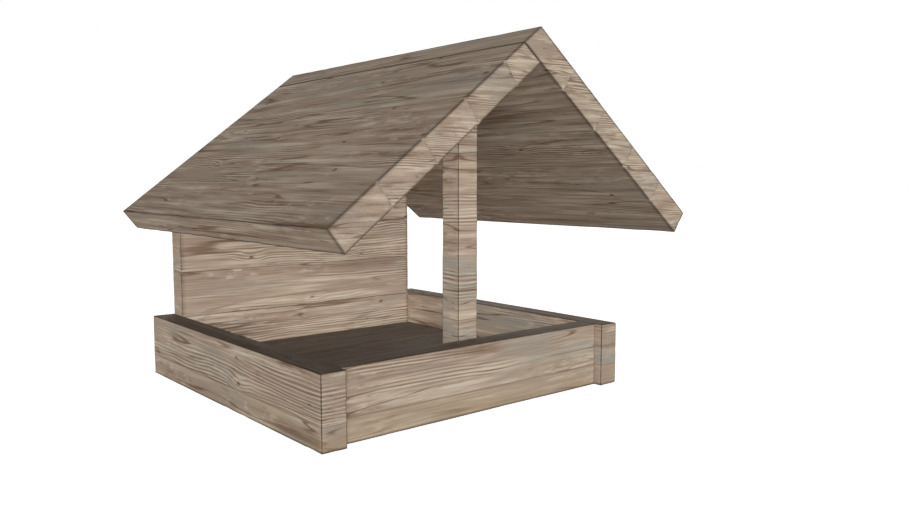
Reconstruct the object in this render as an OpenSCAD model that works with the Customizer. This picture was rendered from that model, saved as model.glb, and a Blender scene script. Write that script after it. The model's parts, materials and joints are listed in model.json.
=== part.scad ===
// Timber sandbox with a pitched timber cover, free standing on the ground.
// Millimetres, +Z up. The origin is the middle of the overall footprint, at
// ground level. The open front faces -Y and the gable wall stands at +Y.

/* [Tray] */
// Overall width across the two side timbers
tray_w = 1500; // [1200:10:1850]
// Length of the side timbers, front to back
tray_l = 1500; // [1200:10:1850]
// Height of the side and front timbers
tray_h = 270; // [215:5:340]
// Thickness of the side and front timbers
timber_t = 100; // [80:1:125]
// Distance that the front timber is set back from the side timbers' ends
front_set_back = 37; // [0:1:80]

/* [Floor] */
// Thickness of a floor plank
floor_t = 28; // [22:1:40]
// Height of a bearer under the floor
bearer_h = 72; // [60:1:95]
// Width of a bearer
bearer_w = 60; // [45:1:80]
// Distance from a side timber to the side bearer
bearer_inset = 80; // [70:1:160]
// Drainage gap between floor planks, and round the post
floor_gap = 3; // [1:0.5:6]

/* [Gable wall and post] */
// Thickness of the gable wall
wall_t = 100; // [80:1:125]
// Height of the lowest wall plank
wall_base_h = 262; // [215:1:320]
// Width of the post, left to right
post_w = 100; // [80:1:130]
// Depth of the post, front to back
post_d = 100; // [80:1:130]

/* [Roof] */
// Thickness of a roof slope
roof_t = 100; // [80:1:125]
// Slope of the roof, in degrees
roof_pitch = 37.6; // [31:0.1:45]
// Clear height from the ground to the underside of the ridge
clear_h = 1300; // [1080:10:1600]
// Reach of the roof past the side timbers, measured level
eave_overhang = 120; // [60:1:180]
// Reach of the roof past the front ends of the side timbers
front_overhang = 250; // [100:5:350]

/* [Plank joints] */
// Width of the tongue on a wall or roof plank
tongue_w = 30; // [24:1:40]
// Height of the tongue
tongue_h = 14; // [10:1:18]
// Clearance round a tongue in its groove
tongue_gap = 0.3; // [0.2:0.05:0.8]
// Distance from a plank's end to the end of its tongue
tongue_stop = 40; // [20:5:80]
// Chamfer along the edges of timbers and planks
arris = 2; // [0.5:0.5:4]

/* [Dowels and brackets] */
// Diameter of a tray dowel
dowel_d = 20; // [16:1:24]
// Length of a tray dowel
dowel_l = 120; // [90:1:140]
// Height of the lower dowel, and drop of the upper one from its timber's top
dowel_edge = 75; // [60:1:80]
// Length of each leg of a corner bracket
bracket_leg = 60; // [50:1:66]
// Height of a corner bracket
bracket_h = 48; // [40:1:52]
// Thickness of a corner bracket
bracket_t = 4; // [3:0.5:5]
// Height of a corner bracket above the ground
bracket_z = 10; // [5:1:15]

/* [Tie rods] */
// Diameter of a tie rod
rod_d = 12; // [10:1:14]
// Diameter of a bore for a tie rod
rod_bore_d = 14; // [12.5:0.5:16]
// Diameter of the pocket for a rod's nut and washer
pocket_d = 38; // [36:1:44]
// Diameter of a rod's washer
washer_d = 34; // [30:1:35]
// Thickness of a rod's washer
washer_t = 3; // [2:0.5:4]
// Width of a rod's nut across its flats
nut_af = 19; // [17:1:22]
// Height of a rod's nut
nut_h = 10; // [8:1:12]
// Diameter of a barrel nut
barrel_d = 20; // [18:1:24]
// Length of a barrel nut
barrel_l = 50; // [40:1:60]
// Distance of the outer wall rods from the middle
wall_rod_x = 350; // [250:5:420]
// Distance of the outer roof rods from the roof's ends
roof_rod_inset = 225; // [150:5:300]

/* [Screws] */
// Diameter of a small wood screw
screw_d = 6; // [5:0.5:8]
// Diameter of a small screw's head
screw_head_d = 12; // [10:0.5:14]
// Height of a small screw's head
screw_head_h = 3; // [2:0.5:4]
// Reach of a small screw into the timber
screw_reach = 45; // [35:1:60]
// Diameter of a long timber screw
long_screw_d = 10; // [8:0.5:12]
// Diameter of a long timber screw's flanged head
long_head_d = 22; // [18:1:26]
// Height of a long timber screw's head
long_head_h = 6; // [5:0.5:8]
// Length of a ridge screw under its head
ridge_screw_l = 180; // [150:5:200]
// Number of ridge screws
ridge_screw_count = 6; // [4:2:8]
// Length of a post screw under its head
post_screw_l = 160; // [140:5:180]

/* [Roof fixings] */
// Height of the ridge hanger's plate on the back of the post
hanger_h = 150; // [120:5:200]
// Depth of the hanger's wings under the slopes
hanger_wing = 80; // [60:1:110]
// Thickness of the ridge hanger and the roof cleats
plate_t = 5; // [4:0.5:6]
// Length of a roof cleat along the slope
cleat_l = 280; // [200:5:320]
// Width of each leg of a roof cleat
cleat_leg = 60; // [50:1:70]
// Distance of a roof cleat's middle from the middle of the wall
cleat_x = 500; // [460:5:520]

/* [Hidden] */
WALL_PLANKS = 6;
ROOF_PLANKS = 5;
FLOOR_PLANKS = 6;
ROUND = 48;
SIDES = ["left", "right"];
ENDS = ["front", "back"];

// Colours: weathered softwood, darker where it faces the sky, and zinc.
wood = [0.62, 0.55, 0.48];
wood_roof = [0.50, 0.44, 0.39];
wood_floor = [0.38, 0.33, 0.29];
zinc = [0.66, 0.68, 0.70];

// Small clearances.
screw_gap = 0.3;      // between a screw and its hole, on the diameter
fit_gap = 0.3;        // between a dowel, barrel nut or plug and its hole
floor_side_gap = 2;   // between a floor plank's end and the side timber
hanger_edge = 4;      // from the ridge hanger's edge to the post's edge
hole_end = 1;         // spare depth at the end of a blind hole
past = 1;             // how far a cutting shape runs past a face

// The plan.
half_w = tray_w / 2;
inner_x = half_w - timber_t;
back_y = (tray_l + front_overhang) / 2;
front_y = back_y - tray_l;
front_timber_y = front_y + front_set_back;
post_y = front_timber_y + timber_t;
wall_y = back_y - wall_t;
roof_y = front_y - front_overhang;
floor_z = bearer_h + floor_t;

// The roof's section. Lengths run up the slope from the eave's lower corner.
eave_x = half_w + eave_overhang;
eave_low_x = eave_x - roof_t * sin(roof_pitch);
slope_under = eave_low_x / cos(roof_pitch);
slope_top = slope_under + roof_t * tan(roof_pitch);
lap = roof_t / sin(2 * roof_pitch);
roof_plank_w = slope_top / ROOF_PLANKS;
wall_plank_h = (clear_h - wall_base_h) / (WALL_PLANKS - 1);
floor_pitch = (wall_y - post_y) / FLOOR_PLANKS;

// The height of the roof's underside at a distance from the middle.
function under_z(x) = clear_h - abs(x) * tan(roof_pitch);

// Distance up the slope of the point above a distance from the middle.
function slope_at(x) = (eave_low_x - x) / cos(roof_pitch);

// Height of the top of wall plank i.
function wall_joint(i) = i == 0 ? 0 : wall_base_h + (i - 1) * wall_plank_h;

// Half the width of the gable wall at a height.
function wall_half(z) = min(inner_x, (clear_h - z) / tan(roof_pitch));

hanger_w = post_w - 2 * hanger_edge;

// Fastener places.
rod_z = 20;            // depth of the pocket at a rod's lower end
rod_top_drop = 45;     // from the roof's underside down to the upper seat
rod_past_nut = 3;      // how far a rod stands out of its nut
eave_barrel = 60;      // from the left eave up to its barrel nuts
ridge_barrel = 100;    // from the ridge down to the right barrel nuts
ridge_pocket = 45;     // depth of the rod pockets at the ridge joint
eave_pocket = 25;      // depth of the rod pockets in the right eave
rod_past_barrel = 12;  // how far a rod runs past a barrel nut's axis
plug_h = 15;           // length of a plug over a right barrel nut
wall_rod_xs = [-wall_rod_x, 0, wall_rod_x];
roof_rod_ys = [roof_y + roof_rod_inset, 0, back_y - roof_rod_inset];
bearer_xs = [-(inner_x - bearer_inset - bearer_w / 2), 0,
    inner_x - bearer_inset - bearer_w / 2];
head_sink = 8;         // how deep a long screw's head sits
ridge_screw_inset = 100;  // from the roof's ends to the first ridge screw
ridge_screw_shift = 60;   // keeps the middle ridge screws off the middle rod
post_screw_zs = [floor_z + 35, tray_h - 45];
floor_screw_sink = 25; // depth of the pocket under a floor screw's head
floor_screw_off = 45;  // from a plank's middle to its screws
bracket_holes = [[24, 34], [46, 14]];  // along a leg, and height

// ---------- shape helpers ----------

// Runs an outline drawn in Y and Z along X.
module along_x(x0, x1) {
    translate([x0, 0, 0]) rotate([90, 0, 90]) linear_extrude(x1 - x0) children();
}

// Runs an outline drawn in X and Z along Y.
module along_y(y0, y1) {
    translate([0, y1, 0]) rotate([90, 0, 0]) linear_extrude(y1 - y0) children();
}

// A rectangle with its corners taken off, from the origin to [w, h].
module timber_outline(w, h) {
    polygon([[arris, 0], [w - arris, 0], [w, arris], [w, h - arris],
        [w - arris, h], [arris, h], [0, h - arris], [0, arris]]);
}

// Everything below the roof's undersides, between two places along Y.
module below_roof(y0, y1) {
    along_y(y0, y1) polygon([[-inner_x, -past], [inner_x, -past],
        [inner_x, under_z(inner_x)], [0, clear_h], [-inner_x, under_z(inner_x)]]);
}

// A slope's own frame: X up the slope, Z out of the roof, Y as it was.
module on_left_slope() {
    translate([-eave_low_x, 0, under_z(eave_low_x)]) rotate([0, -roof_pitch, 0]) children();
}

module on_slope(side) {
    if (side == "left") on_left_slope() children();
    else mirror([1, 0, 0]) on_left_slope() children();
}

// Turns a fastener drawn along -Z so that it points along +X or -X.
module pointing_x(sign) {
    rotate([0, -90 * sign, 0]) children();
}

// ---------- fasteners, each pointing along -Z from the seat of its head ----------

module screw_shape(d, length, head_d, head_h) {
    tip = d;
    cylinder(d = head_d, h = head_h, $fn = ROUND);
    translate([0, 0, tip - length]) cylinder(d = d, h = length - tip, $fn = ROUND);
    translate([0, 0, -length]) cylinder(d1 = d / 3, d2 = d, h = tip, $fn = ROUND);
}

module small_screw(reach) {
    screw_shape(screw_d, reach, screw_head_d, screw_head_h);
}

module long_screw(length) {
    screw_shape(long_screw_d, length, long_head_d, long_head_h);
}

module screw_bore(d, length) {
    translate([0, 0, -length - hole_end])
        cylinder(d = d + screw_gap, h = length + hole_end + past, $fn = ROUND);
}

// A flat washer standing on Z = 0.
module washer(bore) {
    difference() {
        cylinder(d = washer_d, h = washer_t, $fn = ROUND);
        translate([0, 0, -past]) cylinder(d = bore, h = washer_t + 2 * past, $fn = ROUND);
    }
}

// A hexagon nut standing on Z = 0.
module nut(bore) {
    difference() {
        cylinder(d = nut_af / cos(30), h = nut_h, $fn = 6);
        translate([0, 0, -past]) cylinder(d = bore, h = nut_h + 2 * past, $fn = ROUND);
    }
}

// ---------- where the fasteners go ----------

// Dowels lie along X, half in the side timber and half in its neighbour.
module dowel_places(end) {
    y = end == "front" ? front_timber_y + timber_t / 2 : wall_y + wall_t / 2;
    top = end == "front" ? tray_h : wall_base_h;
    for (sx = [-1, 1], z = [dowel_edge, top - dowel_edge])
        translate([sx * inner_x, y, z]) rotate([0, 90, 0]) children();
}

module dowel_bores(end) {
    dowel_places(end)
        cylinder(d = dowel_d + fit_gap, h = dowel_l + 2 * hole_end, center = true, $fn = ROUND);
}

// A tray corner's own frame: its two timbers' faces are X = 0 and Y = 0.
module at_corner(end, side) {
    sx = side == "left" ? 1 : -1;
    sy = end == "front" ? 1 : -1;
    y = end == "front" ? post_y : wall_y;
    translate([-sx * inner_x, y, bracket_z])
        mirror([sx < 0 ? 1 : 0, 0, 0]) mirror([0, sy < 0 ? 1 : 0, 0]) children();
}

module bracket_screw_places(leg) {
    for (hole = bracket_holes)
        if (leg == "cross") translate([hole[0], bracket_t, hole[1]]) rotate([-90, 0, 0]) children();
        else translate([bracket_t, hole[0], hole[1]]) pointing_x(-1) children();
}

// Bores left in the timbers by the bracket screws of one leg.
module bracket_screw_bores(leg) {
    for (end = ENDS, side = SIDES)
        at_corner(end, side) bracket_screw_places(leg) screw_bore(screw_d, screw_reach);
}

// Where a bearer starts: the centre one starts behind the post.
function bearer_front(b) = b == 1 ? post_y + post_d : post_y;

// Screws come up through the bearers into floor plank i.
module floor_screw_places(i, bearers = [0, 1, 2]) {
    middle = post_y + (i - 0.5) * floor_pitch;
    for (b = bearers, y = [middle - floor_screw_off, middle + floor_screw_off])
        if (y > bearer_front(b) + screw_head_d)
            translate([bearer_xs[b], y, floor_screw_sink]) rotate([180, 0, 0]) children();
}

floor_screw_reach = bearer_h - floor_screw_sink + floor_t * 0.75;

// Wall rods stand upright, with pockets in the foot and under the roof.
function wall_rod_top(x) = under_z(x) - rod_top_drop;

module wall_rod_bores() {
    for (x = wall_rod_xs) translate([x, wall_y + wall_t / 2, 0]) {
        translate([0, 0, -past]) cylinder(d = rod_bore_d, h = clear_h, $fn = ROUND);
        translate([0, 0, -past]) cylinder(d = pocket_d, h = rod_z + past, $fn = ROUND);
        translate([0, 0, wall_rod_top(x)]) cylinder(d = pocket_d, h = clear_h, $fn = ROUND);
    }
}

// Roof rods run up the slope. Each side has a barrel nut at one end of a rod
// and a washer and nut at the other.
left_seat = slope_top - lap - ridge_pocket;
right_barrel = slope_top - ridge_barrel;

// The place of a rod's barrel nut, of its seat, and the way from one to the other.
function barrel_at(side) = side == "left" ? eave_barrel : right_barrel;
function seat_at(side) = side == "left" ? left_seat : eave_pocket;
function rod_way(side) = side == "left" ? 1 : -1;

// Children are drawn with the seat at Z = 0 and the rod's end beyond it.
module roof_seat_places(side) {
    on_slope(side) for (y = roof_rod_ys)
        translate([seat_at(side), y, roof_t / 2]) pointing_x(-rod_way(side)) children();
}

// Children are drawn along Z about the middle of the roof's thickness.
module roof_barrel_places(side) {
    on_slope(side) for (y = roof_rod_ys)
        translate([barrel_at(side), y, roof_t / 2]) children();
}

rod_beyond_seat = washer_t + nut_h + rod_past_nut;

function roof_rod_length(side) =
    abs(seat_at(side) - barrel_at(side)) + rod_past_barrel + rod_beyond_seat;

module roof_rod_bores(side) {
    length = abs(seat_at(side) - barrel_at(side)) + rod_past_barrel + hole_end;
    roof_seat_places(side) {
        translate([0, 0, -length]) cylinder(d = rod_bore_d, h = length + past, $fn = ROUND);
        cylinder(d = pocket_d, h = ridge_pocket * 3, $fn = ROUND);
    }
    // The barrel nuts go in from below on the left, and from above on the right.
    way = side == "left" ? -1 : 1;
    depth = roof_t / 2 + barrel_l / 2;
    roof_barrel_places(side)
        translate([0, 0, way * (depth / 2 - barrel_l / 2 + past / 2)])
            cylinder(d = barrel_d + fit_gap, h = depth + past, center = true, $fn = ROUND);
}

// Ridge screws run down inside the left slope, through the right slope's end.
module ridge_screw_places() {
    step = (back_y - roof_y - 2 * ridge_screw_inset) / (ridge_screw_count - 1);
    face = slope_top + roof_t / 2 / tan(2 * roof_pitch);
    on_left_slope() for (i = [0:ridge_screw_count - 1]) {
        off_middle = i < ridge_screw_count / 2 ? -1 : 1;
        near_middle = abs(i - (ridge_screw_count - 1) / 2) < 1;
        shift = near_middle ? off_middle * ridge_screw_shift : 0;
        translate([face - head_sink, roof_y + ridge_screw_inset + i * step + shift, roof_t / 2])
            pointing_x(-1) children();
    }
}

module ridge_screw_bores() {
    ridge_screw_places() {
        screw_bore(long_screw_d, ridge_screw_l);
        cylinder(d = long_head_d + 2 * fit_gap, h = roof_t / 2, $fn = ROUND);
    }
}

// Post screws run forward through the post into the front timber.
module post_screw_places() {
    for (z = post_screw_zs)
        translate([0, post_y + post_d - head_sink, z]) rotate([-90, 0, 0]) children();
}

module post_screw_bores() {
    post_screw_places() {
        screw_bore(long_screw_d, post_screw_l);
        cylinder(d = long_head_d + 2 * fit_gap, h = head_sink + past, $fn = ROUND);
    }
}

// The hanger's screws: three in the post, and two up into each slope.
module hanger_post_screw_places() {
    y = post_y + post_d + plate_t;
    low = clear_h - hanger_h + 25;
    for (place = [[-25, low], [25, low], [0, low + 45]])
        translate([place[0], y, place[1]]) rotate([-90, 0, 0]) children();
}

module hanger_wing_screw_places(side) {
    y = post_y + post_d;
    on_slope(side) for (dy = [30, 62])
        translate([slope_at(hanger_w / 4), y + dy, -plate_t]) rotate([180, 0, 0]) children();
}

// The cleats' screws: a row in the wall, and a row up into the slope.
module cleat_wall_screw_places(side) {
    on_slope(side) for (du = [-3, -1, 1, 3])
        translate([slope_at(cleat_x) + du * cleat_l / 8, wall_y - plate_t, -cleat_leg / 2])
            rotate([90, 0, 0]) children();
}

module cleat_roof_screw_places(side) {
    on_slope(side) for (du = [-3, -1, 1, 3])
        translate([slope_at(cleat_x) + du * cleat_l / 8, wall_y - cleat_leg / 2, -plate_t])
            rotate([180, 0, 0]) children();
}

// ---------- timber ----------

module side_timber(side) {
    sx = side == "left" ? -1 : 1;
    x0 = side == "left" ? -half_w : inner_x;
    color(wood) difference() {
        along_y(front_y, back_y) translate([x0, 0]) timber_outline(timber_t, tray_h);
        for (end = ENDS) dowel_bores(end);
        bracket_screw_bores("side");
    }
}

module front_timber() {
    color(wood) difference() {
        along_x(-inner_x, inner_x) translate([front_timber_y, 0]) timber_outline(timber_t, tray_h);
        dowel_bores("front");
        bracket_screw_bores("cross");
        post_screw_bores();
    }
}

module post() {
    color(wood) difference() {
        intersection() {
            translate([-post_w / 2, post_y, 0])
                linear_extrude(clear_h) timber_outline(post_w, post_d);
            below_roof(post_y - past, post_y + post_d + past);
        }
        post_screw_bores();
        hanger_post_screw_places() screw_bore(screw_d, screw_reach);
    }
}

// The tongue on top of wall plank i, or its groove if there is a gap round it.
module wall_tongue(i, gap) {
    z = wall_joint(i);
    half = wall_half(z + tongue_h) - tongue_stop + gap;
    translate([-half, wall_y + (wall_t - tongue_w) / 2 - gap, z - past])
        cube([2 * half, tongue_w + 2 * gap, tongue_h + past + gap]);
}

module wall_plank(i) {
    color(wood) difference() {
        union() {
            intersection() {
                along_x(-inner_x, inner_x) translate([wall_y, wall_joint(i - 1)])
                    timber_outline(wall_t, wall_joint(i) - wall_joint(i - 1));
                below_roof(wall_y - past, back_y + past);
            }
            if (i < WALL_PLANKS) wall_tongue(i, 0);
        }
        if (i > 1) wall_tongue(i - 1, tongue_gap);
        wall_rod_bores();
        if (i == 1) dowel_bores("back");
        if (i == 1) bracket_screw_bores("cross");
        if (i > 2) for (side = SIDES) cleat_wall_screw_places(side) screw_bore(screw_d, screw_reach);
    }
}

// The outline of a whole slope. The right one laps over the left at the ridge.
module slope_outline(side) {
    cut = side == "left" ? -lap : 0;
    lapped = side == "left" ? 0 : lap;
    polygon([[0, 0], [slope_under + lapped, 0], [slope_top + cut, roof_t], [0, roof_t]]);
}

// The tongue on the upper edge of roof plank i, or its groove, in the slope's frame.
module roof_tongue(i, gap) {
    translate([i * roof_plank_w - past, roof_y + tongue_stop - gap, (roof_t - tongue_w) / 2 - gap])
        cube([tongue_h + past + gap, back_y - roof_y - 2 * tongue_stop + 2 * gap,
            tongue_w + 2 * gap]);
}

module roof_plank(side, i) {
    last = i == ROOF_PLANKS;
    width = last ? roof_plank_w + lap : roof_plank_w;
    color(wood_roof) difference() {
        on_slope(side) difference() {
            union() {
                along_y(roof_y, back_y) intersection() {
                    translate([(i - 1) * roof_plank_w, 0]) timber_outline(width, roof_t);
                    slope_outline(side);
                }
                if (!last) roof_tongue(i, 0);
            }
            if (i > 1) roof_tongue(i - 1, tongue_gap);
        }
        roof_rod_bores(side);
        if (last) ridge_screw_bores();
        hanger_wing_screw_places(side) screw_bore(screw_d, screw_reach);
        cleat_roof_screw_places(side) screw_bore(screw_d, screw_reach);
    }
}

module floor_plank(i) {
    y0 = post_y + (i - 1) * floor_pitch + floor_gap / 2;
    x = inner_x - floor_side_gap;
    color(wood_floor) difference() {
        along_x(-x, x) translate([y0, bearer_h]) timber_outline(floor_pitch - floor_gap, floor_t);
        translate([-post_w / 2 - floor_gap, post_y - past, 0])
            cube([post_w + 2 * floor_gap, post_d + floor_gap + past, floor_z + past]);
        floor_screw_places(i) screw_bore(screw_d, floor_screw_reach);
    }
}

// Bearer 0 is the left one, 1 the centre one and 2 the right one.
module bearer(b) {
    color(wood_floor) difference() {
        along_y(bearer_front(b), wall_y) translate([bearer_xs[b] - bearer_w / 2, 0])
            timber_outline(bearer_w, bearer_h);
        for (i = [1:FLOOR_PLANKS]) floor_screw_places(i, [b]) {
            screw_bore(screw_d, floor_screw_reach);
            cylinder(d = screw_head_d + 2, h = floor_screw_sink + past, $fn = ROUND);
        }
    }
}

// ---------- steel and small wooden parts ----------

module tray_dowels() {
    color(wood) for (end = ENDS)
        dowel_places(end) cylinder(d = dowel_d, h = dowel_l, center = true, $fn = ROUND);
}

module corner_bracket(end, side) {
    color(zinc) at_corner(end, side) difference() {
        linear_extrude(bracket_h) polygon([[0, 0], [bracket_leg, 0], [bracket_leg, bracket_t],
            [bracket_t, bracket_t], [bracket_t, bracket_leg], [0, bracket_leg]]);
        for (leg = ["cross", "side"]) bracket_screw_places(leg) screw_bore(screw_d, screw_reach);
    }
}

module bracket_screws() {
    color(zinc) for (end = ENDS, side = SIDES, leg = ["cross", "side"])
        at_corner(end, side) bracket_screw_places(leg) small_screw(screw_reach);
}

module floor_screws() {
    color(zinc) for (i = [1:FLOOR_PLANKS]) floor_screw_places(i) small_screw(floor_screw_reach);
}

// Each wall rod runs from under its lower nut to over its upper one.
module wall_tie_rods() {
    low = rod_z - rod_beyond_seat;
    color(zinc) for (x = wall_rod_xs) translate([x, wall_y + wall_t / 2, low])
        cylinder(d = rod_d, h = wall_rod_top(x) + rod_beyond_seat - low, $fn = ROUND);
}

// Places for the washers and nuts of the wall rods, with each seat at Z = 0.
module wall_seat_places() {
    for (x = wall_rod_xs) translate([x, wall_y + wall_t / 2, 0]) {
        translate([0, 0, wall_rod_top(x)]) children();
        translate([0, 0, rod_z]) mirror([0, 0, 1]) children();
    }
}

module wall_rod_washers() {
    color(zinc) wall_seat_places() washer(rod_d + fit_gap);
}

module wall_rod_nuts() {
    color(zinc) wall_seat_places() translate([0, 0, washer_t]) nut(rod_d + fit_gap);
}

module roof_tie_rods() {
    color(zinc) for (side = SIDES) {
        length = roof_rod_length(side);
        roof_seat_places(side) translate([0, 0, rod_beyond_seat - length])
            cylinder(d = rod_d, h = length, $fn = ROUND);
    }
}

module roof_barrel_nuts() {
    color(zinc) for (side = SIDES) roof_barrel_places(side) difference() {
        cylinder(d = barrel_d, h = barrel_l, center = true, $fn = ROUND);
        rotate([0, 90, 0])
            cylinder(d = rod_d + fit_gap, h = barrel_d + 2 * past, center = true, $fn = ROUND);
    }
}

module roof_rod_washers() {
    color(zinc) for (side = SIDES) roof_seat_places(side) washer(rod_d + fit_gap);
}

module roof_rod_nuts() {
    color(zinc) for (side = SIDES)
        roof_seat_places(side) translate([0, 0, washer_t]) nut(rod_d + fit_gap);
}

// Plugs over the right barrel nuts, flush with the roof.
module roof_rod_plugs() {
    color(wood_roof) roof_barrel_places("right") translate([0, 0, roof_t / 2 - plug_h])
        cylinder(d = barrel_d, h = plug_h, $fn = ROUND);
}

module ridge_screws() {
    color(zinc) ridge_screw_places() long_screw(ridge_screw_l);
}

module post_screws() {
    color(zinc) post_screw_places() long_screw(post_screw_l);
}

// A plate on the back of the post, with two wings bent back under the slopes.
module ridge_hanger() {
    y = post_y + post_d;
    x = hanger_w / 2;
    drop = plate_t / cos(roof_pitch);
    color(zinc) difference() {
        union() {
            along_y(y, y + plate_t) polygon([[-x, clear_h - hanger_h], [x, clear_h - hanger_h],
                [x, under_z(x)], [0, clear_h], [-x, under_z(x)]]);
            along_y(y, y + hanger_wing) polygon([[-x, under_z(x)], [0, clear_h], [x, under_z(x)],
                [x, under_z(x) - drop], [0, clear_h - drop], [-x, under_z(x) - drop]]);
        }
        hanger_post_screw_places() screw_bore(screw_d, screw_reach);
        for (side = SIDES) hanger_wing_screw_places(side) screw_bore(screw_d, screw_reach);
    }
}

module hanger_screws() {
    color(zinc) {
        hanger_post_screw_places() small_screw(screw_reach);
        for (side = SIDES) hanger_wing_screw_places(side) small_screw(screw_reach);
    }
}

// An angle in the corner between the gable wall and a slope.
module roof_cleat(side) {
    from = slope_at(cleat_x) - cleat_l / 2;
    color(zinc) difference() {
        on_slope(side) along_x(from, from + cleat_l) polygon([
            [wall_y, 0], [wall_y - cleat_leg, 0], [wall_y - cleat_leg, -plate_t],
            [wall_y - plate_t, -plate_t], [wall_y - plate_t, -cleat_leg], [wall_y, -cleat_leg]]);
        cleat_wall_screw_places(side) screw_bore(screw_d, screw_reach);
        cleat_roof_screw_places(side) screw_bore(screw_d, screw_reach);
    }
}

module cleat_screws() {
    color(zinc) for (side = SIDES) {
        cleat_wall_screw_places(side) small_screw(screw_reach);
        cleat_roof_screw_places(side) small_screw(screw_reach);
    }
}

// ---------- nodes ----------

for (side = SIDES)
    side_timber(side);
front_timber();
post();
for (i = [1:WALL_PLANKS])
    wall_plank(i);
for (side = SIDES, i = [1:ROOF_PLANKS])
    roof_plank(side, i);
for (i = [1:FLOOR_PLANKS])
    floor_plank(i);
bearer(0);  // bearer_left
bearer(1);  // bearer_centre
bearer(2);  // bearer_right
tray_dowels();
for (end = ENDS, side = SIDES)
    corner_bracket(end, side);
bracket_screws();
floor_screws();
wall_tie_rods();
wall_rod_washers();
wall_rod_nuts();
roof_tie_rods();
roof_barrel_nuts();
roof_rod_washers();
roof_rod_nuts();
roof_rod_plugs();
ridge_screws();
post_screws();
ridge_hanger();
hanger_screws();
roof_cleat("left");  // roof_cleat_left
roof_cleat("right");  // roof_cleat_right
cleat_screws();
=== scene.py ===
"""Looks for the timber sandbox and its pitched cover.

Every timber is rebuilt over its CAD solid as a worn, slightly uneven board.
Its mesh stores where each point lies in the wood, so that one procedural
softwood runs through all faces of a board as it does through a sawn one.
"""
import json
import math

import bmesh
import bpy
import numpy as np
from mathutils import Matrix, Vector

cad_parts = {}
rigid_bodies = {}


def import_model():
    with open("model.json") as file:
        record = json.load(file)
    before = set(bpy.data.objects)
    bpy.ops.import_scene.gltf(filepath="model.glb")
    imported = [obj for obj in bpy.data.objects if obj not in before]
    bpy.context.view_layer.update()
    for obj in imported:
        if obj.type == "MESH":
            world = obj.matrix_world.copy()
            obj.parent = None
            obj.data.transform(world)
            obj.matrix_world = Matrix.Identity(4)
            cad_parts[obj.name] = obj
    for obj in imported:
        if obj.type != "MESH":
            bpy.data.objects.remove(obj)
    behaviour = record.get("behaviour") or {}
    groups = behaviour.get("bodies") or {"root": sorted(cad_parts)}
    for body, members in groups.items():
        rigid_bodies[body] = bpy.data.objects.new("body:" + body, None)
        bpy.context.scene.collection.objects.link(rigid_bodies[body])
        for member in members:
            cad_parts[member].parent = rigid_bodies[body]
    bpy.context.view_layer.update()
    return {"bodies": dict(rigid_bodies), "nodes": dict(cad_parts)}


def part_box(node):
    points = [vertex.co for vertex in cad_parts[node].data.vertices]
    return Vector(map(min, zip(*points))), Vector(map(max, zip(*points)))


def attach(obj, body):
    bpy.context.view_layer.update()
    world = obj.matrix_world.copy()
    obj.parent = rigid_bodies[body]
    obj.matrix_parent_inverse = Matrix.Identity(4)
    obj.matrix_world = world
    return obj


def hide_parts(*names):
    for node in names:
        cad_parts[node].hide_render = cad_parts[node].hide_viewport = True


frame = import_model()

BODY = next(iter(frame["bodies"]))
NODES = frame["nodes"]
MM = 0.001

# ---------------------------------------------------------------- camera

CAMERA_PLACE = (-2.0817, -2.8828, 0.8947)
CAMERA_YAW = 40.08      # degrees, from +Y towards +X
CAMERA_PITCH = -5.33    # degrees, up from level
CAMERA_LENS = 32.2      # mm
CAMERA_SENSOR = 36      # mm, its width


def make_camera():
    data = bpy.data.cameras.new("camera")
    data.lens = CAMERA_LENS
    data.sensor_width = CAMERA_SENSOR
    camera = bpy.data.objects.new("camera", data)
    camera.location = CAMERA_PLACE
    camera.rotation_euler = (math.radians(90 + CAMERA_PITCH), 0, math.radians(-CAMERA_YAW))
    bpy.context.scene.collection.objects.link(camera)
    bpy.context.scene.camera = camera


# ---------------------------------------------------------------- numeric noise

# Large odd numbers that scatter neighbouring cells and seeds far apart.
CELL_PRIMES = (73856093, 19349663, 83492791)
SEED_PRIME = 2654435761
MIXING_PRIME = 1274126177
BITS_32 = 0xFFFFFFFF
BITS_24 = 0xFFFFFF


def lattice_random(cell, seed):
    """A repeatable random number from 0 to 1 for each whole-number cell."""
    whole = cell.astype(np.int64)
    mixed = whole[:, 0] * CELL_PRIMES[0]
    mixed = mixed ^ whole[:, 1] * CELL_PRIMES[1]
    mixed = mixed ^ whole[:, 2] * CELL_PRIMES[2]
    mixed = mixed ^ seed * SEED_PRIME
    mixed = (mixed ^ (mixed >> 13)) * MIXING_PRIME & BITS_32
    mixed = (mixed ^ (mixed >> 16)) & BITS_24
    return mixed / float(BITS_24)


def noise(points, seed):
    """Smooth noise from -1 to 1 at each point, with cells one unit wide."""
    cell = np.floor(points)
    share = points - cell
    share = share * share * (3 - 2 * share)
    total = np.zeros(len(points))
    for corner in np.ndindex(2, 2, 2):
        weight = np.prod(np.where(corner, share, 1 - share), axis=1)
        total += weight * lattice_random(cell + corner, seed)
    return total * 2 - 1


# ---------------------------------------------------------------- worn boards

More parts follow.
